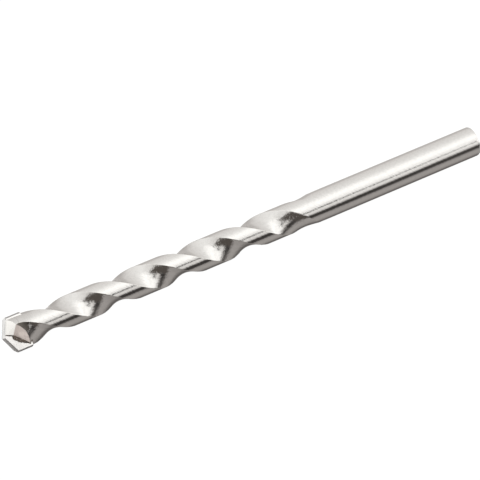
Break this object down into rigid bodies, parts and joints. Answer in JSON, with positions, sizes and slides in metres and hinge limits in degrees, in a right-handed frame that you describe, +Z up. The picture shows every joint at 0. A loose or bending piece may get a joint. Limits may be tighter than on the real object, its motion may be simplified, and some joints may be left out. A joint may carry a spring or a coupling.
{
  "type": "masonry drill bit",
  "caption": "Masonry drill bit with a round plain shank, a right-hand twist of wide shallow flutes and a roof-pointed carbide plate brazed across its tip.",
  "frame": {"origin": "centre of the shank's rear face, on the axis", "axes": "+X along the axis from the point to the shank's rear face, +Z up as the bit lies on its side, +Y across"},
  "size_m": [0.12, 0.0078, 0.0076],
  "materials": {
    "polished_steel": "bright, finely ground and polished",
    "ground_carbide": "fine ground, satin",
    "braze": "dull, as it flowed"
  },
  "bodies": {
    "root": {"drill_body": "polished_steel", "carbide_plate": "ground_carbide", "braze_seam": "braze"}
  },
  "joints": []
}
